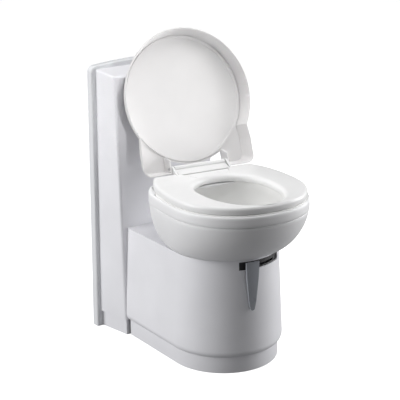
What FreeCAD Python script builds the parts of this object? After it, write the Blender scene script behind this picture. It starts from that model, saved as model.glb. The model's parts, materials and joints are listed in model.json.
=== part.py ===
import FreeCAD, Part
import math
import os

# Cassette toilet for a caravan or motorhome, in millimetres.
# Origin: on the floor, in the middle of the wall face of the back plate.
# +X is the user's left as they sit (the viewer's right), +Y goes into the wall, +Z is up.
# The bowl, seat and lid stand on a swivel and rest turned a few degrees towards -X.

# ---- driving dimensions ----
PLATE_WIDTH = 400
PLATE_HEIGHT = 820
PLATE_CROWN = 10            # rise of the top edge at its middle
PLATE_DEPTH = 24
WALL = 4                    # thickness of the moulded casings
PLINTH_HEIGHT = 50

CONSOLE_REAR_HALF = 186     # half width where the console meets the back plate
CONSOLE_FRONT_HALF = 169    # half width at its front corners
CONSOLE_FOOT_Y = -139       # front face at the floor; the face leans back as it rises
CONSOLE_HEAD_Y = -106       # front face at the top
CONSOLE_FRONT_Z = 801
CONSOLE_REAR_Z = 812
CONSOLE_PLINTH_INSET = 7

SWIVEL_Y = -400             # swivel axis of the bowl, vertical
REST_TURN = -7.8            # rest angle of the bowl about the swivel axis, degrees
LEVER_TURN = -9.5           # rest angle of the valve lever about the same axis
PEDESTAL_TOP_Z = 341
PEDESTAL_FOOT_BACK = 167    # half width at the console, above the plinth
PEDESTAL_FOOT_R = 177       # radius of the round front, above the plinth
PEDESTAL_HEAD_BACK = 150
PEDESTAL_HEAD_R = 162
PEDESTAL_PLINTH_INSET = 14

BOWL_FOOT_Z = 341.4
BOWL_FOOT_R = 159
BOWL_BAND_Z = 472           # lower edge of the rim band
BOWL_RIM_Z = 503
BOWL_RIM_Y = -460           # centre of the rim outline
BOWL_HALF = 211
BOWL_FRONT = 208
BOWL_REAR = 202

SEAT_BOTTOM_Z = 506.5
SEAT_TOP_Z = 529
SEAT_HALF = 204
SEAT_FRONT = 201
SEAT_HOLE_Y = -468
SEAT_HOLE_HALF = 113
SEAT_HOLE_FRONT = 172
SEAT_HOLE_REAR = 123

HINGE_Y = -257              # common axis of the seat and the lid
HINGE_Z = 538.2
PIN_R = 4.0
RUN = 0.08                  # radial running clearance of pins in their holes

LID_CENTRE_Y = -160.1
LID_CENTRE_Z = 719.4
LID_LEAN = 19.38            # degrees back from upright
LID_R = 207
LID_SKIRT = 39              # rim plane in front of the disc plane
LID_EAR_HALF = 185
LID_EAR_INNER = 95
LID_EAR_END = -219
LID_BACK_R = 192            # radius of the lid's back face
LID_EAR_BACK = 169          # half width and end of the ears at the back face
LID_EAR_BACK_END = -209
LID_SKIN = 4

OUTLET_R = 32
NECK_R = 35
NECK_LOW_Z = 300
GEAR_MODULE = 2.25
RING_TEETH = 48
PINION_TEETH = 16
PRESSURE_ANGLE = 20
BACKLASH = 0.3

TANK_HALF = 126
TANK_REAR_Y = -78
TANK_FRONT_Y = -485
TANK_BOTTOM_Z = 24
TANK_TOP_Z = 226
WHEEL_R = 18

RING_PITCH_R = GEAR_MODULE * RING_TEETH / 2
PINION_PITCH_R = GEAR_MODULE * PINION_TEETH / 2
DRIVE_Y = SWIVEL_Y + RING_PITCH_R + PINION_PITCH_R

V = FreeCAD.Vector
UP = V(0, 0, 1)
RIGHT = V(1, 0, 0)
BACK = V(0, 1, 0)


# ---- shape helpers ----
def box(x0, x1, y0, y1, z0, z1):
    return Part.makeBox(x1 - x0, y1 - y0, z1 - z0, V(x0, y0, z0))


def rod(start, direction, length, radius):
    return Part.makeCylinder(radius, length, V(*start), direction)


def tube(start, direction, length, outer, inner):
    return rod(start, direction, length, outer).cut(rod(start, direction, length, inner))


def post(x, y, z0, z1, radius):
    return rod((x, y, z0), UP, z1 - z0, radius)


def ring(x, y, z0, z1, outer, inner):
    return tube((x, y, z0), UP, z1 - z0, outer, inner)


def prism(points, direction):
    wire = Part.makePolygon([V(*p) for p in points] + [V(*points[0])])
    return Part.Face(wire).extrude(direction)


def join(shapes):
    whole = shapes[0]
    for shape in shapes[1:]:
        whole = whole.fuse(shape)
    return whole.removeSplitter()


def group(shapes):
    return Part.makeCompound(shapes)


def mirrored(shape):
    return shape.mirror(V(0, 0, 0), RIGHT)


def pair(shape):
    return [shape, mirrored(shape)]


def smooth(shape, radius, wanted):
    edges = [edge for edge in shape.Edges if wanted(edge.BoundBox)]
    return shape.makeFillet(radius, edges)


def pipe(points, radius):
    """Round bar along straight runs, with a ball at each bend."""
    shapes = []
    for a, b in zip(points, points[1:]):
        start = V(*a)
        run = V(*b) - start
        shapes.append(Part.makeCylinder(radius, run.Length, start, run))
    for p in points[1:-1]:
        shapes.append(Part.makeSphere(radius, V(*p)))
    return join(shapes)


def power(value, exponent):
    return math.copysign(abs(value) ** exponent, value)


def egg(half, front, rear, centre_y, z, front_power=2.15, rear_power=4.3, count=28):
    """Closed outline: one superellipse in front of centre_y, a squarer one behind it."""
    points = []
    for i in range(count):
        angle = 2 * math.pi * (i + 0.5) / count
        c = math.cos(angle)
        s = math.sin(angle)
        n = front_power if s < 0 else rear_power
        depth = front if s < 0 else rear
        points.append(V(half * power(c, 2 / n), centre_y + depth * power(s, 2 / n), z))
    curve = Part.BSplineCurve()
    curve.interpolate(points, PeriodicFlag=True)
    return Part.Wire(curve.toShape())


def loft(wires):
    return Part.makeLoft(wires, True, False)


def turned(shape):
    """Carries a piece of the bowl assembly from straight ahead to its rest angle."""
    copy = shape.copy()
    copy.rotate(V(0, SWIVEL_Y, 0), UP, REST_TURN)
    return copy


def save(name, shape):
    shape.exportStep(f"parts/{name}.step")


# ---- wall plate and console ----
def plate_outline(half, height, crown, y):
    left = V(-half, y, height)
    right = V(half, y, height)
    top = Part.Arc(left, V(0, y, height + crown), right).toShape()
    sides = Part.makePolygon([right, V(half, y, 0), V(-half, y, 0), left])
    return Part.Wire([top] + sides.Edges)


def back_plate():
    half = PLATE_WIDTH / 2
    face = Part.Face(plate_outline(half, PLATE_HEIGHT, PLATE_CROWN, 0))
    plate = face.extrude(V(0, -PLATE_DEPTH, 0))
    top_corner = 18
    plate = smooth(plate, top_corner, lambda b: b.YLength > PLATE_DEPTH - 1 and b.ZMin > PLATE_HEIGHT - 1)
    edge_round = 6
    plate = smooth(plate, edge_round, lambda b: b.YMax < 1 - PLATE_DEPTH and b.ZMax > 1)
    hatch = box(-140, 140, -PLATE_DEPTH - 1, 1, 6, 292)
    window = box(-110, 110, -PLATE_DEPTH - 1, 1, 430, 560)
    plate = plate.cut(hatch).cut(window)
    for x in (-150, 150):
        for z in (370, 770):
            plate = plate.cut(rod((x, 1, z), BACK * -1, PLATE_DEPTH + 2, WALL_SCREW_R))
    for x, z in housing_screw_places():
        plate = plate.cut(rod((x, 1, z), BACK * -1, PLATE_DEPTH + 2, 2.6))
        plate = plate.cut(rod((x, 1, z), BACK * -1, 5, 5.2))
    plate = plate.cut(rod((INLET_X, 1, INLET_Z), BACK * -1, PLATE_DEPTH + 2, 20))
    return plate.cut(rod((0, 1, 620), BACK * -1, PLATE_DEPTH + 2, 7))


WALL_SCREW_R = 2.75
INLET_X = 120
INLET_Z = 640


def housing_screw_places():
    return [(x, z) for x in (-168, 168) for z in (90, 330, 560, 700)]


def console_front_y(z):
    return CONSOLE_FOOT_Y + (CONSOLE_HEAD_Y - CONSOLE_FOOT_Y) * z / CONSOLE_FRONT_Z


def console_block(inset, z_low, skin):
    """Wedge-shaped console body, drawn in by inset on its sides and front and by skin at its top."""
    wall_y = -PLATE_DEPTH
    rear_z = CONSOLE_REAR_Z - skin
    front_z = CONSOLE_FRONT_Z - skin
    half = CONSOLE_REAR_HALF - inset
    profile = [(-half, wall_y, z_low), (-half, wall_y, rear_z),
               (-half, CONSOLE_HEAD_Y + inset, front_z), (-half, console_front_y(z_low) + inset, z_low)]
    block = prism(profile, V(2 * half, 0, 0))
    depth = wall_y - CONSOLE_FOOT_Y
    taper = CONSOLE_REAR_HALF - CONSOLE_FRONT_HALF
    side = prism([(half, wall_y, -1), (half + 50, wall_y, -1), (half + 50, wall_y - 2 * depth, -1),
                  (half - 2 * taper, wall_y - 2 * depth, -1)], V(0, 0, 900))
    return block.cut(side).cut(mirrored(side))


def console_plinth(inset):
    return console_block(CONSOLE_PLINTH_INSET + inset, 0, 0).common(box(-300, 300, -300, 0, 0, PLINTH_HEIGHT))


def console_housing():
    body = console_block(0, PLINTH_HEIGHT, 0)
    body = smooth(body, 9, lambda b: b.YMax < -PLATE_DEPTH - 20 and (b.ZLength > 500 or b.ZMin > 795))
    body = smooth(body, 6, lambda b: b.ZMin > 795 and b.XLength < 20 and b.YLength > 50)
    body = body.fuse(console_plinth(0))
    body = body.cut(console_block(WALL, PLINTH_HEIGHT + WALL, WALL))
    plinth_space = console_block(CONSOLE_PLINTH_INSET + WALL, 0, WALL)
    body = body.cut(plinth_space.common(box(-300, 300, -300, 0, -1, PLINTH_HEIGHT + WALL + 1)))
    body = body.cut(box(-144, 144, -200, -90, -1, 332))
    body = body.cut(on_console_top(box(-52, 52, -20, 20, -20, 20)))
    for x, z in housing_screw_places():
        side = math.copysign(1, x)
        lug = box(min(x - 8 * side, x + 14 * side), max(x - 8 * side, x + 14 * side), -60, -PLATE_DEPTH, z - 9, z + 9)
        lug = lug.common(console_block(1, 1, 1))
        body = body.fuse(lug)
        body = body.cut(rod((x, 0, z), BACK * -1, 52, 2.5))
    return body


def housing_screws():
    screws = []
    for x, z in housing_screw_places():
        head = rod((x, -0.5, z), BACK * -1, 3.5, 4.8)
        shank = rod((x, -4, z), BACK * -1, 44, 2.4)
        screws.append(head.fuse(shank))
    return group(screws)


# ---- control panel on top of the console ----
PANEL_X = 95
PANEL_Y = -66
TOP_SLOPE = math.degrees(math.atan2(CONSOLE_REAR_Z - CONSOLE_FRONT_Z, -PLATE_DEPTH - CONSOLE_HEAD_Y))


def on_console_top(shape):
    """Places a piece drawn about the panel's middle, with +Z out of the console's sloping top."""
    share = (PANEL_Y - CONSOLE_HEAD_Y) / (-PLATE_DEPTH - CONSOLE_HEAD_Y)
    z = CONSOLE_FRONT_Z + share * (CONSOLE_REAR_Z - CONSOLE_FRONT_Z)
    copy = shape.copy()
    copy.rotate(V(0, 0, 0), RIGHT, TOP_SLOPE)
    copy.translate(V(PANEL_X, PANEL_Y, z))
    return copy


BUTTON_X = -28
BUTTON_R = 13


def control_panel():
    plate = box(-55, 55, -23, 23, 0.1, 2.6)
    plate = smooth(plate, 6, lambda b: b.ZLength > 2)
    tray = box(-51, 51, -19, 19, -16, 0.1).cut(box(-49, 49, -17, 17, -14, 0.1))
    panel = plate.fuse(tray)
    panel = panel.cut(post(BUTTON_X, 0, -1, 4, BUTTON_R + 0.4))
    panel = panel.cut(box(0, 44, -5, 5, -1, 4))
    return on_console_top(panel)


def level_window():
    return on_console_top(box(0.1, 43.9, -4.9, 4.9, 0, 3.2))


def control_board():
    board = box(-46, 46, -16, 16, -13.5, -12)
    switch = box(BUTTON_X - 4, BUTTON_X + 4, -4, 4, -12, -7)
    lamps = [box(6 + 9 * i, 10 + 9 * i, -2, 2, -12, -9) for i in range(4)]
    return on_console_top(join([board, switch] + lamps))


def flush_button():
    cap = post(BUTTON_X, 0, -1, 4.6, BUTTON_R)
    cap = smooth(cap, 1.4, lambda b: b.ZMin > 4)
    flange = post(BUTTON_X, 0, -3.4, -1, BUTTON_R + 1.4)
    return on_console_top(cap.fuse(flange))


# ---- pedestal ----
def d_wire(back_half, radius, back_y, z):
    """D-shaped outline: straight back and sides, round front about the swivel axis."""
    a = V(-back_half, back_y, z)
    b = V(-radius, SWIVEL_Y, z)
    c = V(radius, SWIVEL_Y, z)
    d = V(back_half, back_y, z)
    front = Part.Arc(b, V(0, SWIVEL_Y - radius, z), c).toShape()
    return Part.Wire([Part.makeLine(a, b), front, Part.makeLine(c, d), Part.makeLine(d, a)])


def pedestal_section(z, inset):
    share = (z - PLINTH_HEIGHT) / (PEDESTAL_TOP_Z - PLINTH_HEIGHT)
    back_half = PEDESTAL_FOOT_BACK + share * (PEDESTAL_HEAD_BACK - PEDESTAL_FOOT_BACK) - inset
    radius = PEDESTAL_FOOT_R + share * (PEDESTAL_HEAD_R - PEDESTAL_FOOT_R) - inset
    return d_wire(back_half, radius, console_front_y(z) - 0.3, z)


def plinth_section(z, inset):
    back_half = PEDESTAL_FOOT_BACK - PEDESTAL_PLINTH_INSET - inset
    radius = PEDESTAL_FOOT_R - PEDESTAL_PLINTH_INSET - inset
    return d_wire(back_half, radius, console_front_y(z) - 0.3, z)


def solid_between(lower, upper):
    return Part.makeLoft([lower, upper], True, True)


def slot_sector(inner, outer, z0, z1, from_deg, to_deg):
    """Part of a ring about the swivel axis; 0 degrees is straight ahead, positive towards +X."""
    block = Part.makeCylinder(outer, z1 - z0, V(0, SWIVEL_Y, z0), UP, to_deg - from_deg)
    block = block.cut(post(0, SWIVEL_Y, z0 - 1, z1 + 1, inner))
    block.rotate(V(0, SWIVEL_Y, 0), UP, from_deg - 90)
    return block


OVERHANG = 20               # height over which the body rounds in to the plinth
SLOT_FROM = -22
SLOT_TO = 34
SLOT_LOW_Z = 311
SLOT_HIGH_Z = 335


def pedestal_shell():
    skirt_z = PLINTH_HEIGHT + OVERHANG
    rounded = [(0, 13), (2, 9), (5, 5.6), (9, 2.9), (14, 1), (OVERHANG, 0)]
    top_inside = PEDESTAL_TOP_Z - WALL
    shell = join([solid_between(plinth_section(0, 0), plinth_section(PLINTH_HEIGHT, 0)),
                  Part.makeLoft([pedestal_section(PLINTH_HEIGHT + z, inset) for z, inset in rounded], True, True),
                  solid_between(pedestal_section(skirt_z, 0), pedestal_section(PEDESTAL_TOP_Z, 0))])
    inner_plinth = solid_between(plinth_section(-1, WALL), plinth_section(skirt_z + 1, WALL))
    inner_body = solid_between(pedestal_section(skirt_z, WALL), pedestal_section(top_inside, WALL))
    shell = shell.cut(inner_plinth).cut(inner_body)
    shell = shell.cut(box(-144, 144, -300, -100, -1, 332))
    shell = shell.cut(post(0, SWIVEL_Y, top_inside - 1, PEDESTAL_TOP_Z + 1, LINER_OUTER_R))
    return shell.cut(slot_sector(140, 190, SLOT_LOW_Z, SLOT_HIGH_Z, SLOT_FROM, SLOT_TO))


LINER_OUTER_R = 128
SPIGOT_R = 124


def swivel_liner():
    return ring(0, SWIVEL_Y, PEDESTAL_TOP_Z - WALL, PEDESTAL_TOP_Z, LINER_OUTER_R, SPIGOT_R + RUN)


def lever_track():
    track = slot_sector(151, 158, SLOT_LOW_Z - 5, SLOT_HIGH_Z + 1, SLOT_FROM - 4, SLOT_TO + 4)
    return track.cut(slot_sector(140, 160, 313.4, 320.6, LEVER_TURN - 5, LEVER_TURN + 35))


# ---- frame inside the pedestal ----
POSTS = [(x, y) for x in (-138.5, 138.5) for y in (-210, -440)]
DECK_Z = 304
FLOOR_SCREW_X = 75
DECK_THICK = 6


def base_tray():
    floor_z = 6
    sheet = join([box(-141, 141, -150, -26, 0, floor_z), box(-146, 146, -455, -145, 0, floor_z),
                  box(-126, 126, -490, -450, 0, floor_z)])
    rails = pair(box(129, 132, -430, -30, floor_z - 1, 34))
    tray = join([sheet] + rails)
    for x in (-FLOOR_SCREW_X, FLOOR_SCREW_X):
        for y in (-410, -110):
            tray = tray.cut(post(x, y, -1, floor_z + 1, WALL_SCREW_R))
    for x, y in POSTS:
        tray = tray.cut(post(x, y, -1, floor_z - 0.1, 2.6))
    pivot_y = LATCH_Y
    tray = tray.cut(box(-22, 22, pivot_y - 12, -20, 3, floor_z + 1))
    for side in (-1, 1):
        ear = box(min(18 * side, 22 * side), max(18 * side, 22 * side), pivot_y - 8, pivot_y + 8, 0, 20)
        tray = tray.fuse(ear)
    return tray.cut(rod((-30, pivot_y, LATCH_Z), RIGHT, 60, 2.5 + RUN))


def support_posts():
    return group([post(x, y, 6, DECK_Z, 6).cut(post(x, y, DECK_Z - 30, DECK_Z + 1, 2.5)) for x, y in POSTS])


def deck_plate():
    plate = box(-145, 145, -455, -195, DECK_Z, DECK_Z + DECK_THICK)
    plate = plate.cut(post(0, SWIVEL_Y, DECK_Z - 1, DECK_Z + 20, FUNNEL_OUTER_R + 0.05))
    plate = plate.cut(post(0, DRIVE_Y, DECK_Z - 1, DECK_Z + 20, DOG_SHAFT_R + RUN))
    plate = plate.cut(post(HOSE_X, HOSE_Y, DECK_Z - 1, DECK_Z + 20, 9))
    for x, y in POSTS:
        plate = plate.cut(post(x, y, DECK_Z - 1, DECK_Z + 20, 2.6))
    return plate


def deck_screws():
    z = DECK_Z + DECK_THICK
    return group([post(x, y, z - 30, z, 2.4).fuse(post(x, y, z, z + 3, 4.5)) for x, y in POSTS])


FUNNEL_INNER_R = 39.5
FUNNEL_OUTER_R = 43
LIP_TOP_Z = 262.3


def outlet_funnel():
    pipe_part = ring(0, SWIVEL_Y, LIP_TOP_Z + 0.3, DECK_Z + 18, FUNNEL_OUTER_R, FUNNEL_INNER_R)
    flange = ring(0, SWIVEL_Y, DECK_Z - 4, DECK_Z, 62, FUNNEL_INNER_R)
    foot = ring(0, SWIVEL_Y, LIP_TOP_Z + 0.3, LIP_TOP_Z + 4, 52, FUNNEL_INNER_R)
    return join([pipe_part, flange, foot])


def outlet_seal():
    return ring(0, SWIVEL_Y, DECK_Z - 2, DECK_Z + 4, FUNNEL_INNER_R, NECK_R + RUN)


# ---- valve lever and its gears ----
def involute_point(base_r, radius, start):
    roll = math.sqrt(max((radius / base_r) ** 2 - 1, 0))
    angle = start - (roll - math.atan(roll))
    return V(radius * math.cos(angle), radius * math.sin(angle), 0)


def gear_tooth(pitch_r, teeth, root_r):
    """One tooth on the +X axis, as a flat face from just inside the root circle to the tip."""
    base_r = pitch_r * math.cos(math.radians(PRESSURE_ANGLE))
    tip_r = pitch_r + GEAR_MODULE
    roll = math.tan(math.radians(PRESSURE_ANGLE))
    pitch_half = math.pi / 2 / teeth - BACKLASH / 2 / pitch_r
    start = pitch_half + roll - math.radians(PRESSURE_ANGLE)
    low_r = max(base_r, root_r)
    steps = 5
    upper = []
    for i in range(steps + 1):
        upper.append(involute_point(base_r, low_r + (tip_r - low_r) * i / steps, start))
    root_angle = math.atan2(upper[0].y, upper[0].x)
    inside = root_r - 1
    upper.insert(0, V(inside * math.cos(root_angle), inside * math.sin(root_angle), 0))
    lower = [V(p.x, -p.y, 0) for p in reversed(upper)]
    return Part.Face(Part.makePolygon(upper + lower + [upper[0]]))


def toothed(pitch_r, teeth, indices, phase, centre_y, z0, z1):
    """Teeth at the given indices, each turned to phase plus its pitch angle about (0, centre_y)."""
    root_r = pitch_r - 1.25 * GEAR_MODULE
    blank = gear_tooth(pitch_r, teeth, root_r)
    shapes = []
    for i in indices:
        tooth = blank.extrude(V(0, 0, z1 - z0))
        tooth.rotate(V(0, 0, 0), UP, phase + 360 * i / teeth)
        tooth.translate(V(0, centre_y, z0))
        shapes.append(tooth)
    return shapes


GEAR_LOW_Z = DECK_Z + DECK_THICK + 0.3
GEAR_HIGH_Z = GEAR_LOW_Z + 9
ARM_LOW_Z = 314
ARM_HIGH_Z = 320


def lever_ring():
    root_r = RING_PITCH_R - 1.25 * GEAR_MODULE
    body = post(0, SWIVEL_Y, GEAR_LOW_Z, GEAR_HIGH_Z, root_r)
    teeth = toothed(RING_PITCH_R, RING_TEETH, range(-7, 4), 90, SWIVEL_Y, GEAR_LOW_Z, GEAR_HIGH_Z)
    arm = box(-6, 6, SWIVEL_Y - 172, SWIVEL_Y - root_r + 6, ARM_LOW_Z, ARM_HIGH_Z)
    arm.rotate(V(0, SWIVEL_Y, 0), UP, LEVER_TURN)
    whole = join([body] + teeth + [arm])
    return whole.cut(post(0, SWIVEL_Y, GEAR_LOW_Z - 1, GEAR_HIGH_Z + 3, FUNNEL_OUTER_R + RUN))


LEVER_TOP_Z = 336
LEVER_TIP_Z = 192
LEVER_HALF = 20.5


def valve_lever():
    """Tapered blade hanging in front of the pedestal, drawn straight ahead and then turned."""
    inner_y = SWIVEL_Y - 169
    thick = 10
    tip_half = 7
    outline = [V(-LEVER_HALF, inner_y, LEVER_TOP_Z), V(LEVER_HALF, inner_y, LEVER_TOP_Z),
               V(LEVER_HALF - 2, inner_y, 290), V(tip_half + 4, inner_y, LEVER_TIP_Z + 26),
               V(tip_half, inner_y, LEVER_TIP_Z + 7)]
    tip = Part.Arc(outline[-1], V(0, inner_y, LEVER_TIP_Z), V(-tip_half, inner_y, LEVER_TIP_Z + 7)).toShape()
    left = Part.makePolygon([V(-tip_half, inner_y, LEVER_TIP_Z + 7), V(-tip_half - 4, inner_y, LEVER_TIP_Z + 26),
                             V(-LEVER_HALF + 2, inner_y, 290), outline[0]])
    wire = Part.Wire(Part.makePolygon(outline).Edges + [tip] + left.Edges)
    blade = Part.Face(wire).extrude(V(0, -thick, 0))
    blade = blade.common(ring(0, SWIVEL_Y, 180, 340, 178, 170.9))
    socket = box(-10, 10, SWIVEL_Y - 173, SWIVEL_Y - 166, ARM_LOW_Z - 2.2, ARM_HIGH_Z + 2.2)
    blade = blade.fuse(socket)
    blade = blade.cut(box(-6, 6, SWIVEL_Y - 172, SWIVEL_Y - 160, ARM_LOW_Z, ARM_HIGH_Z))
    blade.rotate(V(0, SWIVEL_Y, 0), UP, LEVER_TURN)
    return blade


DOG_SHAFT_R = 8
DOG_LOW_Z = 264.9
DOG_HIGH_Z = 271


def drive_gear():
    root_r = PINION_PITCH_R - 1.25 * GEAR_MODULE
    body = post(0, DRIVE_Y, GEAR_LOW_Z, GEAR_HIGH_Z, root_r)
    phase = -90 + 180 / PINION_TEETH
    teeth = toothed(PINION_PITCH_R, PINION_TEETH, range(PINION_TEETH), phase, DRIVE_Y, GEAR_LOW_Z, GEAR_HIGH_Z)
    gear = join([body] + teeth)
    return gear.cut(post(0, DRIVE_Y, GEAR_LOW_Z - 1, GEAR_HIGH_Z + 1, DOG_SHAFT_R))


def drive_dog():
    shaft = post(0, DRIVE_Y, DOG_HIGH_Z - 0.5, GEAR_HIGH_Z + 1.5, DOG_SHAFT_R)
    bar = box(-2.5, 2.5, DRIVE_Y - 7, DRIVE_Y + 7, DOG_LOW_Z, DOG_HIGH_Z)
    return shaft.fuse(bar)


# ---- water and wiring ----
HOSE_X = 84                 # where the hose reaches the bowl's own flush pipe
HOSE_Y = -341


def flush_valve():
    body = box(INLET_X - 22, INLET_X + 22, -74, -34, INLET_Z - 24, INLET_Z + 24)
    coil = rod((INLET_X, -54, INLET_Z + 24), UP, 34, 16)
    barb = rod((INLET_X, -34, INLET_Z), BACK, 31, 5)
    outlet = rod((INLET_X, -54, INLET_Z - 44), UP, 20, 5)
    return join([body, coil, barb, outlet])


def supply_hose():
    r = 6.5
    hose = pipe([(INLET_X, -54, INLET_Z - 26), (INLET_X, -54, 325), (HOSE_X, -90, 293),
                 (HOSE_X, HOSE_Y, 293), (HOSE_X, HOSE_Y, 325)], r)
    return hose.cut(rod((INLET_X, -54, INLET_Z - 44), UP, 20, 5))


def wiring_loom():
    return pipe([(60, -50, 786), (60, -44, 705), (INLET_X, -54, 705), (INLET_X, -54, 698)], 2.5)


# ---- bowl assembly, drawn straight ahead ----
def flare(z, low_z, high_z, bulge):
    """Share of the way from foot to rim outline: quick at the foot, upright at the rim."""
    t = min(max((z - low_z) / (high_z - low_z), 0), 1)
    return (1 - (1 - t) ** bulge) ** (1 / bulge)


def bowl_section(z, skin):
    """Outline of the bowl at height z: round at the foot, egg-shaped at the rim."""
    f = flare(z, BOWL_FOOT_Z, BOWL_BAND_Z, 1.62)
    half = BOWL_FOOT_R + (BOWL_HALF - BOWL_FOOT_R) * f - skin
    front = BOWL_FOOT_R + (BOWL_FRONT - BOWL_FOOT_R) * f - skin
    rear = BOWL_FOOT_R + (BOWL_REAR - BOWL_FOOT_R) * f - skin
    centre = SWIVEL_Y + (BOWL_RIM_Y - SWIVEL_Y) * f
    return egg(half, front, rear, centre, z, 2 + 0.15 * f, 2 + 2.3 * f)


def rim_slab(skin, z0, z1):
    """Upright slab in the shape of the rim outline, drawn in by skin."""
    outline = egg(BOWL_HALF - skin, BOWL_FRONT - skin, BOWL_REAR - skin, BOWL_RIM_Y, z0)
    return Part.Face(outline).extrude(V(0, 0, z1 - z0))


def bowl_shell():
    steps = 6
    rise = BOWL_BAND_Z + 2 - BOWL_FOOT_Z
    heights = [BOWL_FOOT_Z + rise * (i / steps) ** 1.6 for i in range(steps + 1)]
    flank = loft([bowl_section(z, 1.5) for z in heights])
    hollow = loft([bowl_section(z, 1.5 + WALL) for z in heights])
    foot = ring(0, SWIVEL_Y, BOWL_FOOT_Z, BOWL_FOOT_Z + WALL, BOWL_FOOT_R - 3, 110)
    spigot = ring(0, SWIVEL_Y, SPIGOT_LOW_Z, BOWL_FOOT_Z + 1, SPIGOT_R, 119)
    band = rim_slab(0, BOWL_BAND_Z, BOWL_RIM_Z)
    band = smooth(band, 4, lambda b: b.ZMin > BOWL_RIM_Z - 1)
    opening = rim_slab(WALL + 3, BOWL_BAND_Z - 1, BOWL_RIM_Z + 1)
    shelf = box(-112, 112, -300, -246, 478, BOWL_RIM_Z)
    body = flank.cut(hollow)
    body = body.fuse(band.cut(opening))
    body = body.fuse(foot)
    body = body.fuse(spigot)
    body = body.fuse(shelf)
    deck = rim_slab(WALL, BOWL_RIM_Z - 4, BOWL_RIM_Z).common(box(-230, 230, -303, -200, 480, 520))
    body = body.fuse(deck)
    body = body.cut(box(-8, 37, -304, -278, 477, BOWL_RIM_Z - 4))
    for x in (-50, 50):
        body = body.cut(post(x, HINGE_SCREW_Y, 470, 510, 2.5))
    return body


SPIGOT_LOW_Z = 331
HINGE_SCREW_Y = -272


def retaining_ring():
    base = ring(0, SWIVEL_Y, SPIGOT_LOW_Z - 3, SPIGOT_LOW_Z, 137, 118)
    lip = ring(0, SWIVEL_Y, SPIGOT_LOW_Z, PEDESTAL_TOP_Z - WALL - 0.3, 137, SPIGOT_R + 0.05)
    return base.fuse(lip)


BOWL_FLOOR_Z = 372
INLAY_FLANGE = 2
SEAL_GAP = 0.02             # thin bed of sealant between the rim and the lining


def inlay_outline(z, skin):
    f = flare(z, BOWL_FLOOR_Z, BOWL_RIM_Z + INLAY_FLANGE + 2, 1.5)
    half = OUTLET_R + (131 - OUTLET_R) * f + skin
    front = OUTLET_R + (181 - OUTLET_R) * f + skin
    rear = OUTLET_R + (135 - OUTLET_R) * f + skin
    centre = SWIVEL_Y + (SEAT_HOLE_Y - SWIVEL_Y) * f
    return egg(half, front, rear, centre, z, 2.1, 2.1)


def inlay_dish(top_z, skin):
    steps = 6
    rise = top_z - BOWL_FLOOR_Z
    return loft([inlay_outline(BOWL_FLOOR_Z + rise * (i / steps) ** 1.7, skin) for i in range(steps + 1)])


def bowl_inlay():
    """Ceramic dish with an outlet neck; its flange rests on the rim of the bowl."""
    flange_z = BOWL_RIM_Z + SEAL_GAP
    neck = post(0, SWIVEL_Y, NECK_LOW_Z, BOWL_FLOOR_Z + 5, NECK_R)
    bore = post(0, SWIVEL_Y, NECK_LOW_Z - 1, BOWL_FLOOR_Z + 1, NECK_R - 3.5)
    dish = inlay_dish(BOWL_RIM_Z + 1, 4).fuse(neck)
    dish = dish.cut(inlay_dish(BOWL_RIM_Z + 3, 0))
    dish = dish.cut(bore)
    dish = dish.cut(box(-27, 27, -350, -300, 484, 498))
    lip = egg(BOWL_HALF - 4.5, BOWL_FRONT - 4.5, 156, BOWL_RIM_Y, flange_z)
    flange = Part.Face(lip).extrude(V(0, 0, INLAY_FLANGE - SEAL_GAP))
    mouth = Part.Face(inlay_outline(BOWL_RIM_Z - 1, 1.5)).extrude(V(0, 0, 5))
    return dish.fuse(flange.cut(mouth))


def flush_pipe():
    foot = V(HOSE_X, HOSE_Y - SWIVEL_Y, 0)
    foot = FreeCAD.Rotation(UP, -REST_TURN).multVec(foot)
    x = foot.x
    y = SWIVEL_Y + foot.y
    return pipe([(x, y, 326), (x, y, 352), (30, -285, 440), (0, -290, 491), (0, -306, 491)], 5)


def flush_nozzle():
    fan = prism([(-9, -303, 485), (9, -303, 485), (26, -331, 485), (-26, -331, 485)], V(0, 0, 12))
    return fan.cut(rod((0, -300, 491), BACK * -1, 6, 5.05))


def hinge_block():
    """Block between the seat's lugs: round over the pins, sloping down to the seat in front."""
    half = 84
    crown = 8
    profile = [(-half, -236, BOWL_RIM_Z), (-half, -236, HINGE_Z - 12), (-half, HINGE_Y + crown, HINGE_Z),
               (-half, HINGE_Y - 3, HINGE_Z), (-half, -289, SEAT_TOP_Z - 1), (-half, -289, BOWL_RIM_Z)]
    block = prism(profile, V(2 * half, 0, 0))
    block = block.fuse(rod((-half, HINGE_Y, HINGE_Z), RIGHT, 2 * half, crown))
    for x in (-50, 50):
        block = block.cut(post(x, HINGE_SCREW_Y, 500, 524, 2.5))
    return block.cut(rod((-half - 1, HINGE_Y, HINGE_Z), RIGHT, 26, PIN_R + 0.02)).cut(
        rod((half - 25, HINGE_Y, HINGE_Z), RIGHT, 26, PIN_R + 0.02))


def hinge_screws():
    y = HINGE_SCREW_Y
    return group([post(x, y, 474, 522, 2.4).fuse(post(x, y, 474, 478, 5)) for x in (-50, 50)])


def hinge_pins():
    return group(pair(rod((60, HINGE_Y, HINGE_Z), RIGHT, 42, PIN_R)))


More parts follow.
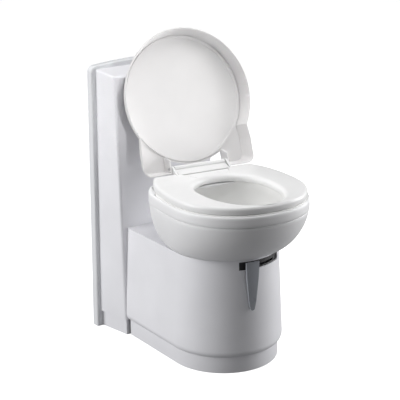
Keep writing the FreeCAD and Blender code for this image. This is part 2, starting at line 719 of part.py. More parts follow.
# ---- seat ----
def seat():
    outline = egg(SEAT_HALF, SEAT_FRONT, 262, BOWL_RIM_Y, SEAT_BOTTOM_Z, 2.16, 2.4)
    body = Part.Face(outline).extrude(V(0, 0, SEAT_TOP_Z - SEAT_BOTTOM_Z))
    body = smooth(body, 9, lambda b: b.ZMin > SEAT_TOP_Z - 1)
    hole = egg(SEAT_HOLE_HALF, SEAT_HOLE_FRONT, SEAT_HOLE_REAR, SEAT_HOLE_Y, SEAT_BOTTOM_Z - 1, 2.2, 2.2)
    body = body.cut(Part.Face(hole).extrude(V(0, 0, 40)))
    body = body.cut(box(-230, 230, -273, -180, 500, 540))
    body = body.cut(box(-85.5, 85.5, -291, -180, 500, 540))
    lugs = []
    for side in (-1, 1):
        x0 = min(86 * side, 93 * side)
        foot = prism([(x0, -320, SEAT_TOP_Z - 6), (x0, -320, SEAT_TOP_Z), (x0, HINGE_Y - 3, HINGE_Z + 8),
                      (x0, HINGE_Y + 6, HINGE_Z - 5.3), (x0, -268, SEAT_BOTTOM_Z + 8), (x0, -275, SEAT_TOP_Z - 10)],
                     V(7, 0, 0))
        lugs.append(foot.fuse(rod((x0, HINGE_Y, HINGE_Z), RIGHT, 7, 8)))
    body = join([body] + lugs)
    return body.cut(rod((-100, HINGE_Y, HINGE_Z), RIGHT, 200, PIN_R + RUN))


def seat_buffers():
    height = SEAT_BOTTOM_Z - BOWL_RIM_Z - INLAY_FLANGE - 0.3
    z = SEAT_BOTTOM_Z - height
    places = [(-160, -370), (160, -370), (-110, -592), (110, -592)]
    return group([post(x, y, z, SEAT_BOTTOM_Z, 8) for x, y in places])


# ---- lid, drawn flat: X across, Y up the lid, Z out of its inner face ----
def on_lid(shape):
    lean = math.radians(LID_LEAN)
    s = math.sin(lean)
    c = math.cos(lean)
    matrix = FreeCAD.Matrix(1, 0, 0, 0, 0, s, -c, LID_CENTRE_Y, 0, c, s, LID_CENTRE_Z, 0, 0, 0, 1)
    copy = shape.copy()
    copy.Placement = FreeCAD.Placement(matrix)
    return copy


def lid_radius(z):
    """The dish widens from its back to its rim."""
    return LID_BACK_R + (LID_R - LID_BACK_R) * (z + LID_SKIN) / (LID_SKIRT + LID_SKIN)


def lid_dish(inset, z0, z1):
    return Part.makeCone(lid_radius(z0) - inset, lid_radius(z1) - inset, z1 - z0, V(0, 0, z0))


def ear_wire(z, inset):
    """Outline of the +X ear at depth z; its sides open out towards the rim like the dish."""
    share = (z + LID_SKIN) / (LID_SKIRT + LID_SKIN)
    outer = LID_EAR_BACK + (LID_EAR_HALF - LID_EAR_BACK) * share - inset
    inner = LID_EAR_INNER + inset
    end = LID_EAR_BACK_END + (LID_EAR_END - LID_EAR_BACK_END) * share + inset
    corner = 24 - inset
    top = -95
    a = V(inner, top, z)
    b = V(outer - 6, top, z)
    c = V(outer, -143, z)
    d = V(outer, end + corner, z)
    middle = V(outer - corner * (1 - math.sqrt(0.5)), end + corner * (1 - math.sqrt(0.5)), z)
    e = V(outer - corner, end, z)
    f = V(inner, end, z)
    lines = Part.makePolygon([a, b, c, d]).Edges
    return Part.Wire(lines + [Part.Arc(d, middle, e).toShape()] + Part.makePolygon([e, f, a]).Edges)


def lid_ear(inset, z0, z1):
    return solid_between(ear_wire(z0, inset), ear_wire(z1, inset))


def lid_pin_place():
    lean = math.radians(LID_LEAN)
    dy = HINGE_Y - LID_CENTRE_Y
    dz = HINGE_Z - LID_CENTRE_Z
    along = dy * math.sin(lean) + dz * math.cos(lean)
    out = -dy * math.cos(lean) + dz * math.sin(lean)
    return along, out


def lid_shell():
    wall = 3.6
    over = LID_SKIRT + 2
    shell = join([lid_dish(0, -LID_SKIN, LID_SKIRT)] + pair(lid_ear(0, -LID_SKIN, LID_SKIRT)))
    shell = shell.cut(lid_dish(wall, 0, over))
    for ear in pair(lid_ear(wall, 0, over)):
        shell = shell.cut(ear)
    shell = shell.cut(box(-LID_EAR_INNER, LID_EAR_INNER, -230, -60, 3, over))
    mouth = box(LID_EAR_INNER + wall, 158, -110, -60, 0, over)
    shell = shell.cut(mouth).cut(mirrored(mouth))
    along, out = lid_pin_place()
    shell = shell.cut(rod((-103, along, out), RIGHT, 206, PIN_R + RUN))
    return on_lid(shell)


LID_PANEL_R = 188


def lid_panel():
    disc = post(0, 0, 0, 1.6, LID_PANEL_R)
    lip = ring(0, 0, 1.6, 4, LID_PANEL_R, LID_PANEL_R - 8)
    return on_lid(disc.fuse(lip))


def lid_buffers():
    places = [(LID_R * math.sin(math.radians(a)) * 0.99, LID_R * math.cos(math.radians(a)) * 0.99)
              for a in (-25, 25, -115, 115)]
    buffers = []
    for x, y in places:
        buffers.append(post(x, y, LID_SKIRT, LID_SKIRT + 1.2, 1.8))
    return on_lid(group(buffers))


# ---- waste-holding cassette ----
def tank_body():
    outer = box(-TANK_HALF, TANK_HALF, TANK_FRONT_Y, TANK_REAR_Y, TANK_BOTTOM_Z, TANK_TOP_Z)
    outer = smooth(outer, 24, lambda b: b.ZLength > 100)
    front_step = box(-200, 200, TANK_FRONT_Y - 1, -436, 0, 48)
    outer = outer.cut(front_step)
    inner = box(4 - TANK_HALF, TANK_HALF - 4, TANK_FRONT_Y + 4, TANK_REAR_Y - 4, 52, TANK_TOP_Z - 4)
    inner = smooth(inner, 20, lambda b: b.ZLength > 100)
    well = box(4 - TANK_HALF, TANK_HALF - 4, -432, TANK_REAR_Y - 4, TANK_BOTTOM_Z + 4, 60)
    body = outer.cut(inner.fuse(well))
    runners = pair(box(92, 104, -430, -100, 6.4, TANK_BOTTOM_Z + 1))
    brackets = pair(box(88, 96, -474, -450, 16, 49))
    turret = tube((SPOUT_X, TANK_REAR_Y - 3, SPOUT_Z), BACK, 9, 30, 22)
    vent_boss = ring(VENT_X, VENT_Y, TANK_TOP_Z - 1, TANK_TOP_Z + 9, 13, 9.4)
    hinge_lugs = pair(box(63, 70, HANDLE_Y - 8, HANDLE_Y + 8, TANK_TOP_Z - 1, HANDLE_Z + 7))
    body = join([body] + runners + brackets + [turret, vent_boss] + hinge_lugs)
    body = body.cut(post(0, SWIVEL_Y, TANK_TOP_Z - 6, TANK_TOP_Z + 2, 42))
    body = body.cut(rod((SPOUT_X, TANK_REAR_Y - 6, SPOUT_Z), BACK, 20, 22))
    body = body.cut(rod((-130, AXLE_Y, AXLE_Z), RIGHT, 260, 4 + RUN))
    return body.cut(rod((-80, HANDLE_Y, HANDLE_Z), RIGHT, 160, 3 + RUN))


SPOUT_X = -75
SPOUT_Z = 175
VENT_X = 95
VENT_Y = -150
HANDLE_Y = -100
HANDLE_Z = 238
AXLE_Y = -462
AXLE_Z = 6.3 + WHEEL_R


def valve_housing():
    outer = box(-TANK_HALF, TANK_HALF, -450, -272, TANK_TOP_Z, 256)
    outer = smooth(outer, 12, lambda b: b.ZLength > 20)
    cavity = box(-120, 120, -445, -278, 240, 252)
    housing = outer.cut(cavity)
    housing = housing.cut(post(0, SWIVEL_Y, TANK_TOP_Z - 1, 245, 42))
    housing = housing.cut(post(0, SWIVEL_Y, 245, 257, 47))
    return housing.cut(post(0, DRIVE_Y, 236, 257, 9 + RUN))


def lip_seal():
    return ring(0, SWIVEL_Y, 247.2, LIP_TOP_Z, 47, 37)


def valve_blade():
    disc = post(0, SWIVEL_Y, 243.5, 247, 42)
    arm = box(-16, 16, SWIVEL_Y, DRIVE_Y, 243.5, 247)
    hub = post(0, DRIVE_Y, 243.5, 247, 16)
    return join([disc, arm, hub]).cut(post(0, DRIVE_Y, 240, 250, 7))


def blade_spindle():
    lower = post(0, DRIVE_Y, 237, 247, 7)
    head = post(0, DRIVE_Y, 247, 270, 9)
    spindle = lower.fuse(head)
    return spindle.cut(box(-2.7, 2.7, DRIVE_Y - 12, DRIVE_Y + 12, 264.5, 271))


SPOUT_Y = -46
SPOUT_R = 20


def spout():
    base = rod((SPOUT_X, TANK_REAR_Y + 6.3, SPOUT_Z), BACK, 8, 30)
    stub = rod((SPOUT_X, TANK_REAR_Y - 5, SPOUT_Z), BACK, 32, SPOUT_R + 1.9)
    elbow = Part.makeSphere(SPOUT_R, V(SPOUT_X, SPOUT_Y, SPOUT_Z))
    barrel = rod((SPOUT_X, SPOUT_Y, SPOUT_Z), RIGHT, 118, SPOUT_R)
    bore = rod((SPOUT_X, SPOUT_Y, SPOUT_Z), RIGHT, 119, SPOUT_R - 3.5)
    inlet = rod((SPOUT_X, TANK_REAR_Y - 6, SPOUT_Z), BACK, 32, SPOUT_R - 3.5)
    return join([base, stub, elbow, barrel]).cut(bore).cut(inlet)


def spout_cap():
    end_x = SPOUT_X + 118
    shell = rod((end_x - 18, SPOUT_Y, SPOUT_Z), RIGHT, 24, SPOUT_R + 4)
    shell = shell.cut(rod((end_x - 19, SPOUT_Y, SPOUT_Z), RIGHT, 20.4, SPOUT_R + 0.3))
    grip = box(end_x + 6, end_x + 14, SPOUT_Y - 3, SPOUT_Y + 3, SPOUT_Z - 18, SPOUT_Z + 18)
    return shell.fuse(grip)


def cap_seal():
    end_x = SPOUT_X + 118
    return tube((end_x, SPOUT_Y, SPOUT_Z), RIGHT, 1.3, SPOUT_R, SPOUT_R - 3.5)


def vent_button():
    return post(VENT_X, VENT_Y, TANK_TOP_Z + 4, TANK_TOP_Z + 14, 9.3)


def carry_handle():
    """Frame lying on top of the tank, hinged at its rear."""
    z = HANDLE_Z
    arms = pair(box(55, 62, HANDLE_Y - 62, HANDLE_Y + 6, z - 5, z + 5))
    grip_bar = box(-62, 62, HANDLE_Y - 78, HANDLE_Y - 60, z - 5, z + 5)
    frame = join(arms + [grip_bar])
    return frame.cut(rod((-80, HANDLE_Y, HANDLE_Z), RIGHT, 160, 3 + RUN))


def handle_grip():
    sleeve = box(-45, 45, HANDLE_Y - 81, HANDLE_Y - 57, HANDLE_Z - 8, HANDLE_Z + 8)
    sleeve = smooth(sleeve, 6, lambda b: b.XLength > 50)
    return sleeve.cut(box(-46, 46, HANDLE_Y - 78, HANDLE_Y - 60, HANDLE_Z - 5, HANDLE_Z + 5))


def handle_pins():
    return group(pair(rod((54, HANDLE_Y, HANDLE_Z), RIGHT, 17, 3)))


def wheel_axle():
    return rod((-124, AXLE_Y, AXLE_Z), RIGHT, 248, 4)


def tank_wheels():
    wheel = tube((108, AXLE_Y, AXLE_Z), RIGHT, 14, WHEEL_R, 4)
    groove = tube((113, AXLE_Y, AXLE_Z), RIGHT, 4, WHEEL_R + 1, WHEEL_R - 2)
    return group(pair(wheel.cut(groove)))


FLOAT_Y = -180
FLOAT_Z = 200


def level_float():
    arm = box(40, 46, FLOAT_Y - 3, FLOAT_Y + 3, 90, FLOAT_Z + 6)
    ball = box(28, 58, FLOAT_Y - 18, FLOAT_Y + 18, 60, 92)
    ball = smooth(ball, 8, lambda b: b.ZLength > 20)
    return arm.fuse(ball).cut(rod((20, FLOAT_Y, FLOAT_Z), RIGHT, 50, 2 + RUN))


def float_bracket():
    cheeks = [box(x, x + 3, FLOAT_Y - 6, FLOAT_Y + 6, FLOAT_Z - 6, TANK_TOP_Z - 4) for x in (35, 48)]
    pin = rod((36, FLOAT_Y, FLOAT_Z), RIGHT, 14, 2)
    return join(cheeks + [box(35, 51, FLOAT_Y - 6, FLOAT_Y + 6, TANK_TOP_Z - 6, TANK_TOP_Z - 4), pin])


# ---- latch that holds the cassette in ----
LATCH_Y = -58
LATCH_Z = 12


def tank_latch():
    """Hook lying flat below the cassette; raised, it stands behind the tank's rear wall."""
    arm = box(-14, 14, LATCH_Y, LATCH_Y + 30, LATCH_Z - 2.5, LATCH_Z + 2.5)
    barrel = rod((-14, LATCH_Y, LATCH_Z), RIGHT, 28, 5)
    hook = box(-14, 14, LATCH_Y + 26, LATCH_Y + 30, LATCH_Z, LATCH_Z + 9)
    return join([arm, barrel, hook]).cut(rod((-30, LATCH_Y, LATCH_Z), RIGHT, 60, 2.5 + RUN))


def latch_pin():
    return rod((-21.5, LATCH_Y, LATCH_Z), RIGHT, 43, 2.5)


FIXED = [back_plate, console_housing, housing_screws, control_panel, level_window, control_board, flush_button,
         pedestal_shell, swivel_liner, lever_track, base_tray, support_posts, deck_plate, deck_screws,
         outlet_funnel, outlet_seal, lever_ring, valve_lever, drive_gear, drive_dog, flush_valve, supply_hose,
         wiring_loom, tank_body, valve_housing, lip_seal, valve_blade, blade_spindle, spout, spout_cap, cap_seal,
         vent_button, carry_handle, handle_grip, handle_pins, wheel_axle, tank_wheels, level_float, float_bracket,
         tank_latch, latch_pin]
ON_SWIVEL = [bowl_shell, retaining_ring, bowl_inlay, flush_pipe, flush_nozzle, hinge_block, hinge_screws,
             hinge_pins, seat, seat_buffers, lid_shell, lid_panel, lid_buffers]

os.makedirs("parts", exist_ok=True)
for build in FIXED:
    save(build.__name__, build())
for build in ON_SWIVEL:
    save(build.__name__, turned(build()))
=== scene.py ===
import json
import math

import bpy
import numpy as np
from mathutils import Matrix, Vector


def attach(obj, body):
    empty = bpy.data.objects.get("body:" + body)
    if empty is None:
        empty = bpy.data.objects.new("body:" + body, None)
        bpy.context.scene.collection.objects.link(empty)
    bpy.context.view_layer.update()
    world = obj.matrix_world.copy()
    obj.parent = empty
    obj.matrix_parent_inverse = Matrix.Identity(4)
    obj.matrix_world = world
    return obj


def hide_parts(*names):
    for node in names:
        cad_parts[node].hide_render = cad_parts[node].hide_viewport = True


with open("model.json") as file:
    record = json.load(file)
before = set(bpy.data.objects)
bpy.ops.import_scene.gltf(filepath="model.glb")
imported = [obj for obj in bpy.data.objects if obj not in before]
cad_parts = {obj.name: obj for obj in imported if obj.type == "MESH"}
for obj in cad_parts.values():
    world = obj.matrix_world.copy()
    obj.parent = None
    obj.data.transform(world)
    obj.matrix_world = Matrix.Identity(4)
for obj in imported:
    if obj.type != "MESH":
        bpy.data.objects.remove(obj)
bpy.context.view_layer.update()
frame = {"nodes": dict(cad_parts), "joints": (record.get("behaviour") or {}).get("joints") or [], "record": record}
NODES = frame["nodes"]

# The bowl, seat and lid rest turned about the swivel axis. The bowl and seat shapes below are drawn straight ahead
# in millimetres and then turned, the same way round as the imported part.
joints = {j["name"]: j for j in frame["joints"]}
SWIVEL_Y = joints["bowl_swivel"]["pos_m"][1] * 1000
HINGE_AXIS = Vector(joints["lid_hinge"]["axis"])
REST_TURN = math.atan2(-HINGE_AXIS.y, -HINGE_AXIS.x)
MM = 0.001


# ---- materials ----
GRAIN_DEPTH = 0.0002
BRUSHED = (1, 1, 40)


def new_material(name):
    material = bpy.data.materials.new(name)
    material.use_nodes = True
    tree = material.node_tree
    shader = tree.nodes["Principled BSDF"]
    coords = tree.nodes.new("ShaderNodeTexCoord")
    return material, tree, shader, coords


def noise(tree, coords, scale, detail):
    node = tree.nodes.new("ShaderNodeTexNoise")
    node.inputs["Scale"].default_value = scale
    node.inputs["Detail"].default_value = detail
    tree.links.new(coords.outputs["Object"], node.inputs["Vector"])
    return node


def spread(tree, source, low, high):
    """Stretches the middle of a noise, where nearly all its values lie, to low and high."""
    node = tree.nodes.new("ShaderNodeMapRange")
    node.inputs["From Min"].default_value = 0.3
    node.inputs["From Max"].default_value = 0.7
    node.inputs["To Min"].default_value = low
    node.inputs["To Max"].default_value = high
    tree.links.new(source, node.inputs["Value"])
    return node.outputs["Result"]


def colour_mix(tree, source, dark, light):
    node = tree.nodes.new("ShaderNodeMix")
    node.data_type = "RGBA"
    node.inputs["A"].default_value = (*dark, 1)
    node.inputs["B"].default_value = (*light, 1)
    tree.links.new(source, node.inputs["Factor"])
    return node.outputs["Result"]


def bump(tree, shader, height, strength):
    node = tree.nodes.new("ShaderNodeBump")
    node.inputs["Strength"].default_value = strength
    node.inputs["Distance"].default_value = GRAIN_DEPTH
    tree.links.new(height, node.inputs["Height"])
    tree.links.new(node.outputs["Normal"], shader.inputs["Normal"])


def moulded(name, colour, rough, grain=0.12, grain_scale=900, coat=0.0, drift=0.03):
    """Moulded plastic: slow colour drift, fine grain in the bump, uneven gloss."""
    material, tree, shader, coords = new_material(name)
    slow = noise(tree, coords, 6, 3)
    dark = tuple(c * (1 - drift) for c in colour)
    light = tuple(min(c * (1 + drift), 1) for c in colour)
    tint = colour_mix(tree, spread(tree, slow.outputs["Fac"], 0, 1), dark, light)
    tree.links.new(tint, shader.inputs["Base Color"])
    patch = noise(tree, coords, 30, 5)
    gloss = spread(tree, patch.outputs["Fac"], rough * 0.88, rough * 1.12)
    tree.links.new(gloss, shader.inputs["Roughness"])
    fine = noise(tree, coords, grain_scale, 2)
    bump(tree, shader, fine.outputs["Fac"], grain)
    shader.inputs["Coat Weight"].default_value = coat
    shader.inputs["Coat Roughness"].default_value = 0.12
    shader.inputs["IOR"].default_value = 1.49
    return material


def metal(name, colour, rough):
    """Metal with a fine grain drawn out along one direction."""
    material, tree, shader, coords = new_material(name)
    shader.inputs["Metallic"].default_value = 1.0
    mapping = tree.nodes.new("ShaderNodeMapping")
    mapping.inputs["Scale"].default_value = BRUSHED
    tree.links.new(coords.outputs["Object"], mapping.inputs["Vector"])
    grain = tree.nodes.new("ShaderNodeTexNoise")
    grain.inputs["Scale"].default_value = 60
    tree.links.new(mapping.outputs["Vector"], grain.inputs["Vector"])
    tint = colour_mix(tree, grain.outputs["Fac"], tuple(c * 0.85 for c in colour), colour)
    tree.links.new(tint, shader.inputs["Base Color"])
    tree.links.new(spread(tree, grain.outputs["Fac"], rough * 0.7, rough * 1.4), shader.inputs["Roughness"])
    bump(tree, shader, grain.outputs["Fac"], 0.1)
    return material


def rubber(name, colour, rough=0.7):
    return moulded(name, colour, rough, grain=0.35, grain_scale=500, drift=0.12)


def ceramic(name, colour):
    return moulded(name, colour, 0.12, grain=0.02, grain_scale=120, coat=0.6, drift=0.012)


MATERIALS = {
    "plate_white": moulded("plate_white", (0.74, 0.75, 0.77), 0.38),
    "housing_white": moulded("housing_white", (0.80, 0.80, 0.83), 0.40),
    "bowl_white": moulded("bowl_white", (0.81, 0.81, 0.82), 0.46, grain=0.04),
    "seat_white": moulded("seat_white", (0.81, 0.81, 0.81), 0.38, grain=0.04, coat=0.08),
    "lid_white": moulded("lid_white", (0.82, 0.81, 0.81), 0.34, grain=0.08),
    "inlay_ceramic": ceramic("inlay_ceramic", (0.90, 0.90, 0.89)),
    "lever_grey": moulded("lever_grey", (0.34, 0.355, 0.39), 0.3, grain=0.25, drift=0.08),
    "slider_black": moulded("slider_black", (0.025, 0.025, 0.027), 0.45, grain=0.2, drift=0.1),
    "frame_grey": moulded("frame_grey", (0.22, 0.23, 0.24), 0.55, grain=0.3, drift=0.08),
    "tank_grey": moulded("tank_grey", (0.42, 0.44, 0.46), 0.5, grain=0.35, grain_scale=700, drift=0.05),
    "seal_black": rubber("seal_black", (0.02, 0.02, 0.02)),
    "buffer_pale": rubber("buffer_pale", (0.68, 0.68, 0.68), 0.6),
    "grip_rubber": rubber("grip_rubber", (0.10, 0.10, 0.11)),
    "pin_steel": metal("pin_steel", (0.62, 0.62, 0.63), 0.28),
    "cap_green": moulded("cap_green", (0.05, 0.19, 0.12), 0.4, grain=0.2, drift=0.08),
    "valve_brass": metal("valve_brass", (0.75, 0.55, 0.25), 0.3),
    "hose_grey": rubber("hose_grey", (0.16, 0.16, 0.17), 0.6),
    "board_green": moulded("board_green", (0.02, 0.12, 0.05), 0.35, drift=0.15),
    "window_clear": moulded("window_clear", (0.03, 0.03, 0.035), 0.12, coat=0.6),
    "button_white": moulded("button_white", (0.62, 0.63, 0.66), 0.3),
}
SLOT_OF = {row["node"]: row["material_slot"] for row in frame["record"]["subparts"]}


def paint(obj, slot):
    obj.data.materials.clear()
    obj.data.materials.append(MATERIALS[slot])


for node, obj in NODES.items():
    paint(obj, SLOT_OF[node])


# ---- mesh helpers ----
def soften(obj, width=0.0012):
    """Rounds an object's sharp edges and shades the rest smooth."""
    weld = obj.modifiers.new("weld", "WELD")
    weld.merge_threshold = 0.00001
    round_off = obj.modifiers.new("round", "BEVEL")
    round_off.width = width
    round_off.segments = 3
    round_off.limit_method = "ANGLE"
    round_off.angle_limit = math.radians(32)
    round_off.use_clamp_overlap = True
    even = obj.modifiers.new("even", "WEIGHTED_NORMAL")
    even.keep_sharp = False
    obj.data.polygons.foreach_set("use_smooth", [True] * len(obj.data.polygons))


def straight_to_row(points):
    """Millimetres, bowl facing straight ahead, to metres in the row frame at rest."""
    c = math.cos(REST_TURN)
    s = math.sin(REST_TURN)
    x = points[:, 0]
    y = points[:, 1] - SWIVEL_Y
    return np.stack([c * x - s * y, s * x + c * y + SWIVEL_Y, points[:, 2]], axis=1) * MM


def add_piece(name, points, faces, slot, body):
    """A new piece from points in the straight-ahead frame, riding on a body."""
    mesh = bpy.data.meshes.new(name)
    mesh.from_pydata(straight_to_row(points).tolist(), [], faces)
    obj = bpy.data.objects.new(name, mesh)
    bpy.context.scene.collection.objects.link(obj)
    paint(obj, slot)
    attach(obj, body)
    return obj


def ring_mesh(name, rings, slot, body, replaced):
    """Skin over rings of equal length, closed on itself, that stands in for a CAD node."""
    count = len(rings[0])
    faces = []
    for i in range(len(rings)):
        a = i * count
        b = ((i + 1) % len(rings)) * count
        for k in range(count):
            n = (k + 1) % count
            faces.append((a + k, a + n, b + n, b + k))
    obj = add_piece(name, np.concatenate(rings), faces, slot, body)
    obj.data.polygons.foreach_set("use_smooth", [True] * len(faces))
    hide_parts(replaced)


def egg_ring(half, front, rear, centre_y, z, front_power=2.15, rear_power=4.3, count=256):
    angle = 2 * math.pi * (np.arange(count) + 0.5) / count
    c = np.cos(angle)
    s = np.sin(angle)
    n = np.where(s < 0, front_power, rear_power)
    depth = np.where(s < 0, front, rear)
    x = half * np.sign(c) * np.abs(c) ** (2 / n)
    y = centre_y + depth * np.sign(s) * np.abs(s) ** (2 / n)
    return np.stack([x, y, np.broadcast_to(z, x.shape).astype(float)], axis=1)


def step_up(value, low, high):
    t = np.clip((value - low) / (high - low), 0, 1)
    return t * t * (3 - 2 * t)


def level(ring, z):
    """The ring at height z, or at one height per point."""
    ring = ring.copy()
    ring[:, 2] = z
    return ring


def flare(z, low, high, bulge):
    """Share of the way from a narrow foot to a wide rim: quick at the foot, upright at the rim."""
    t = min(max((z - low) / (high - low), 0), 1)
    return (1 - (1 - t) ** bulge) ** (1 / bulge)


# ---- bowl ----
FOOT_Z = 341.4
FOOT_R = 159
BAND_Z = 472                # lower edge of the rim band
RIM_Z = 503
RIM_Y = -460                # centre of the rim outline
BOWL_HALF = 211
BOWL_FRONT = 208
BOWL_REAR = 202
COLLAR_LIFT = 3.6           # how far the rim rises behind the seat

# Heights of the casing's rings with how far each is drawn in from the rim outline.
BAND_GROOVE = [(468.6, 2.0), (469.6, 4.6), (471.3, 4.6), (472.0, 0.8), (473.2, 0.1)]
BAND_AND_ROUND = [(480, 0), (490, 0), (496, 0.1), (499, 0.8), (501.2, 2.0), (502.6, 3.8), (503, 5.6),
                  (503, 7.5)]
BAND_INSIDE = [(501.5, 8.5), (480, 9), (460, 14)]
CASING_WALL = 8


def bowl_ring(z, skin):
    f = flare(z, FOOT_Z, BAND_Z, 1.62)
    half = FOOT_R + (BOWL_HALF - FOOT_R) * f - skin
    front = FOOT_R + (BOWL_FRONT - FOOT_R) * f - skin
    rear = FOOT_R + (BOWL_REAR - FOOT_R) * f - skin
    centre = SWIVEL_Y + (RIM_Y - SWIVEL_Y) * f
    return egg_ring(half, front, rear, centre, z, 2 + 0.15 * f, 2 + 2.3 * f)


def shrink(ring, skin):
    """Draws a ring towards its middle by skin, which may differ from point to point."""
    middle = np.array([0, RIM_Y])
    out = ring[:, :2] - middle
    length = np.linalg.norm(out, axis=1)
    ring = ring.copy()
    ring[:, :2] -= out / length[:, None] * np.broadcast_to(skin, length.shape)[:, None]
    return ring


def build_casing():
    """Round foot, flank, the groove under the band, the band and a rim that rises to the rear."""
    flank_skin = 1.5
    steps = 22
    rise = BAND_Z - 4 - FOOT_Z
    rim = bowl_ring(RIM_Z, 0)
    to_rear = step_up(rim[:, 1], -420, -330)
    lift = COLLAR_LIFT * step_up(rim[:, 1], -335, -300)
    rings = [bowl_ring(FOOT_Z, 12), bowl_ring(FOOT_Z, 2.5)]
    for i in range(1, steps + 1):
        z = FOOT_Z + rise * (i / steps) ** 1.5
        rings.append(shrink(bowl_ring(z, 0), flank_skin))
    for z, skin in BAND_GROOVE:
        fade = flank_skin * to_rear * step_up(BAND_GROOVE[-1][0] - z, 0, 6)
        rings.append(level(shrink(rim, fade + skin * (1 - to_rear)), z))
    for z, skin in BAND_AND_ROUND:
        rings.append(level(shrink(rim, skin), z + lift * step_up(z, 488, 500)))
    for z, skin in BAND_INSIDE:
        rings.append(level(shrink(rim, skin), z))
    for z in (440, 400, 365, 346):
        rings.append(bowl_ring(z, CASING_WALL))
    ring_mesh("bowl_casing", rings, "bowl_white", "bowl", "bowl_shell")


def build_deck():
    """Closes the rim behind the lining, under the hinge."""
    rim = shrink(bowl_ring(RIM_Z, 0), 6)
    edge = rim[rim[:, 1] > -352]
    count = len(edge)
    points = np.concatenate([level(edge, 497.5), level(edge, 502.9)])
    faces = [(k, k + 1, count + k + 1, count + k) for k in range(count - 1)]
    faces.append((count - 1, 0, count, 2 * count - 1))
    faces.append(tuple(reversed(range(count))))
    faces.append(tuple(range(count, 2 * count)))
    soften(add_piece("bowl_deck", points, faces, "bowl_white", "bowl"), 0.0006)


build_casing()
build_deck()


# ---- lining ----
LINING_FLOOR = 372
LINING_WALL = 4
MOUTH_Y = -468              # centre of the lining's mouth and of the seat's hole
NECK_PROFILE = [(369, 31.8), (360, 31.5), (300.2, 31.5), (300, 31.9), (300, 34.6), (300.3, 35), (371.8, 35)]


def lining_ring(z, skin):
    """Lining at height z: nearly round at its floor, egg-shaped at the rim."""
    f = flare(z, LINING_FLOOR, RIM_Z + 4, 1.5)
    half = 32 + 99 * f + skin
    front = 32 + 149 * f + skin
    rear = 32 + 103 * f + skin
    return egg_ring(half, front, rear, SWIVEL_Y + (MOUTH_Y - SWIVEL_Y) * f, z, 2.1, 2.1)


def build_lining():
    """The dish, its outlet neck and the flange that lies on the rim, in one glazed skin."""
    steps = 26
    lip = egg_ring(BOWL_HALF - 4.5, BOWL_FRONT - 4.5, 156, RIM_Y, 503.1)
    rings = [lip, level(shrink(lip, -0.3), 504.2), level(shrink(lip, 0.4), 504.9)]
    for z, skin in ((505, 7), (505, 3.0), (504.6, 1.6), (503.4, 0.6), (501, 0)):
        rings.append(lining_ring(z, skin))
    for i in range(1, steps + 1):
        z = LINING_FLOOR + (500 - LINING_FLOOR) * (1 - i / steps) ** 1.5
        rings.append(lining_ring(z, 0))
    for z, radius in NECK_PROFILE:
        rings.append(egg_ring(radius, radius, radius, SWIVEL_Y, z, 2, 2))
    for i in range(steps + 1):
        z = LINING_FLOOR + (502.5 - LINING_FLOOR) * (i / steps) ** 1.5
        rings.append(lining_ring(z, LINING_WALL))
    ring_mesh("bowl_lining", rings, "inlay_ceramic", "bowl", "bowl_inlay")


build_lining()


# ---- seat ----
SEAT_LOW = 506.5
SEAT_TOP = 529
SEAT_ROUND = 10             # radius of the outer edge
HOLE_ROUND = 16             # width of the rounding into the hole
SEAT_BACK_Y = -273
LUG_FROM = 86.6             # the lugs stand just outside the hinge block
LUG_TO = 93.4


def seat_outline(count):
    ring = egg_ring(204, 201, 262, RIM_Y, 0, 2.16, 2.4, count)
    ring[:, 1] = np.minimum(ring[:, 1], SEAT_BACK_Y)
    notch = (np.abs(ring[:, 0]) < 86.5) & (ring[:, 1] > -300)
    ring[notch, 1] = -291.5
    return ring


def build_seat():
    outer = seat_outline(480)[:, :2]
    inner = egg_ring(113, 172, 123, MOUTH_Y, 0, 2.2, 2.2, len(outer))[:, :2]
    way = (inner - outer) / np.linalg.norm(inner - outer, axis=1)[:, None]
    rings = []

    def at(from_outer, from_inner, share, z):
        """A ring between the two outlines, each drawn into the seat by its own distance."""
        p = (outer + way * from_outer) * (1 - share) + (inner - way * from_inner) * share
        rings.append(np.column_stack([p, np.full(len(p), float(z))]))

    at(2.0, 0, 0, SEAT_LOW)
    at(0.4, 0, 0, SEAT_LOW + 0.6)
    at(0, 0, 0, SEAT_LOW + 2)
    edge_z = SEAT_TOP - 1 - SEAT_ROUND
    at(0, 0, 0, edge_z)
    for i in range(1, 8):
        a = math.pi / 2 * i / 7
        at(SEAT_ROUND * (1 - math.cos(a)), 0, 0, edge_z + SEAT_ROUND * math.sin(a))
    for share in (0.15, 0.35, 0.5, 0.65, 0.85):
        at(SEAT_ROUND, HOLE_ROUND, share, SEAT_TOP - 1 + math.sin(math.pi * share))
    for i in range(9):
        a = math.pi / 2 * i / 8
        at(0, HOLE_ROUND * (1 - math.sin(a)), 1, SEAT_TOP - 15 + 14 * math.cos(a))
    at(0, 0, 1, SEAT_LOW + 1.5)
    at(0, 1, 1, SEAT_LOW)
    ring_mesh("seat_ring", rings, "seat_white", "seat", "seat")


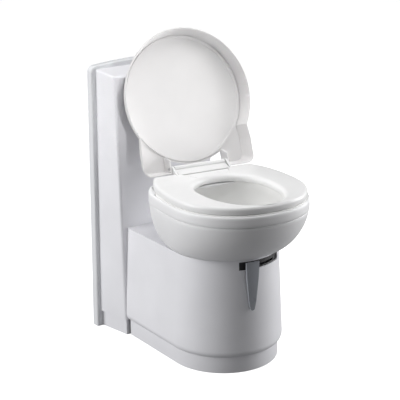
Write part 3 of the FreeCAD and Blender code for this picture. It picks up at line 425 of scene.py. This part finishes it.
def seat_lug(side, name):
    """Slim arm that carries the seat on the hinge pin, level with the hinge block's slope."""
    outline = np.array([(-296, 517), (-296, 528.4), (-288, 529.2), (-270, 540.5), (-263, 545.0),
                        (-257, 546.2), (-251, 544.6), (-248.8, 539), (-251, 532), (-257, 529.6),
                        (-264, 524), (-270, 512)])
    inward = np.array([-270.0, 530.0]) - outline
    inward /= np.linalg.norm(inward, axis=1)[:, None]
    edge = 0.8
    rings = []
    for x, inset in ((LUG_FROM, edge), (LUG_FROM + edge, 0), (LUG_TO - edge, 0), (LUG_TO, edge)):
        rings.append(np.column_stack([np.full(len(outline), x * side), outline + inward * inset]))
    count = len(outline)
    faces = []
    for i in range(len(rings) - 1):
        for k in range(count):
            n = (k + 1) % count
            faces.append((i * count + k, i * count + n, (i + 1) * count + n, (i + 1) * count + k))
    faces.append(tuple(range(count)))
    faces.append(tuple(3 * count + k for k in reversed(range(count))))
    if side > 0:
        faces = [tuple(reversed(f)) for f in faces]
    soften(add_piece(name, np.concatenate(rings), faces, "seat_white", "seat"), edge * MM)


build_seat()
seat_lug(-1, "seat_lug_left")
seat_lug(1, "seat_lug_right")

for node, obj in NODES.items():
    if not obj.hide_render:
        soften(obj)


# ---- camera ----
AZIMUTH = math.radians(36.917)
ELEVATION = math.radians(17.497)
DISTANCE = 3.8438
TARGET = Vector((-0.009, -0.300, 0.446))
across = math.cos(ELEVATION)
away = Vector((-math.sin(AZIMUTH) * across, -math.cos(AZIMUTH) * across, math.sin(ELEVATION)))
camera_data = bpy.data.cameras.new("camera")
camera_data.sensor_width = 36
camera_data.lens = 117.82
camera = bpy.data.objects.new("camera", camera_data)
camera.location = TARGET + DISTANCE * away
camera.rotation_euler = (-away).to_track_quat("-Z", "Y").to_euler()
bpy.context.scene.collection.objects.link(camera)
bpy.context.scene.camera = camera


# ---- floor and light ----
# The floor is near white to the camera but reflects much less light, so that the object is
# lit by the lamps and not from below.
FLOOR_COLOUR = (0.93, 0.93, 0.93)
FLOOR_BOUNCE = (0.2, 0.2, 0.205)
FLOOR_GLOW = 0.8
FLOOR_Z = -0.0005
FLOOR_HALF = 20
SKY_LEVEL = 0.19


def floor_material():
    material, tree, shader, _ = new_material("floor")
    shader.inputs["Roughness"].default_value = 0.9
    shader.inputs["Specular IOR Level"].default_value = 0.1
    shader.inputs["Emission Color"].default_value = (1, 1, 1, 1)
    seen = tree.nodes.new("ShaderNodeLightPath").outputs["Is Camera Ray"]
    tree.links.new(colour_mix(tree, seen, FLOOR_BOUNCE, FLOOR_COLOUR), shader.inputs["Base Color"])
    glow = tree.nodes.new("ShaderNodeMath")
    glow.operation = "MULTIPLY"
    glow.inputs[1].default_value = FLOOR_GLOW
    tree.links.new(seen, glow.inputs[0])
    tree.links.new(glow.outputs["Value"], shader.inputs["Emission Strength"])
    return material


def add_floor():
    mesh = bpy.data.meshes.new("floor")
    corners = [(-1, -1), (1, -1), (1, 1), (-1, 1)]
    mesh.from_pydata([(FLOOR_HALF * x, FLOOR_HALF * y, FLOOR_Z) for x, y in corners], [], [(0, 1, 2, 3)])
    mesh.materials.append(floor_material())
    obj = bpy.data.objects.new("floor", mesh)
    bpy.context.scene.collection.objects.link(obj)


def area_light(name, place, aim, size, power, spread=180):
    data = bpy.data.lights.new(name, "AREA")
    data.spread = math.radians(spread)
    data.shape = "RECTANGLE"
    data.size = size[0]
    data.size_y = size[1]
    data.energy = power
    obj = bpy.data.objects.new(name, data)
    obj.location = place
    obj.rotation_euler = (Vector(aim) - Vector(place)).to_track_quat("-Z", "Y").to_euler()
    bpy.context.scene.collection.objects.link(obj)


def add_sky():
    """White to the camera, and only a weak light on the object."""
    world = bpy.data.worlds.new("world")
    bpy.context.scene.world = world
    world.use_nodes = True
    tree = world.node_tree
    background = tree.nodes["Background"]
    background.inputs["Color"].default_value = (1, 1, 1, 1)
    strength = tree.nodes.new("ShaderNodeMapRange")
    strength.inputs["To Min"].default_value = SKY_LEVEL
    strength.inputs["To Max"].default_value = 1.0
    seen = tree.nodes.new("ShaderNodeLightPath").outputs["Is Camera Ray"]
    tree.links.new(seen, strength.inputs["Value"])
    tree.links.new(strength.outputs["Result"], background.inputs["Strength"])


add_floor()
area_light("key_left", (-3.0, 0.7, 1.2), (0, -0.3, 0.45), (2.0, 2.4), 86)
area_light("top", (0.0, -0.5, 3.4), (0, -0.35, 0.5), (1.8, 1.8), 54)
area_light("fill_right", (2.7, -1.3, 0.8), (0, -0.3, 0.4), (1.4, 2.0), 84)
area_light("lid_beam", (-0.5, -3.0, 0.95), (0, -0.2, 0.79), (0.44, 0.44), 0.2, spread=5)
add_sky()

bpy.context.scene.view_settings.view_transform = "Standard"
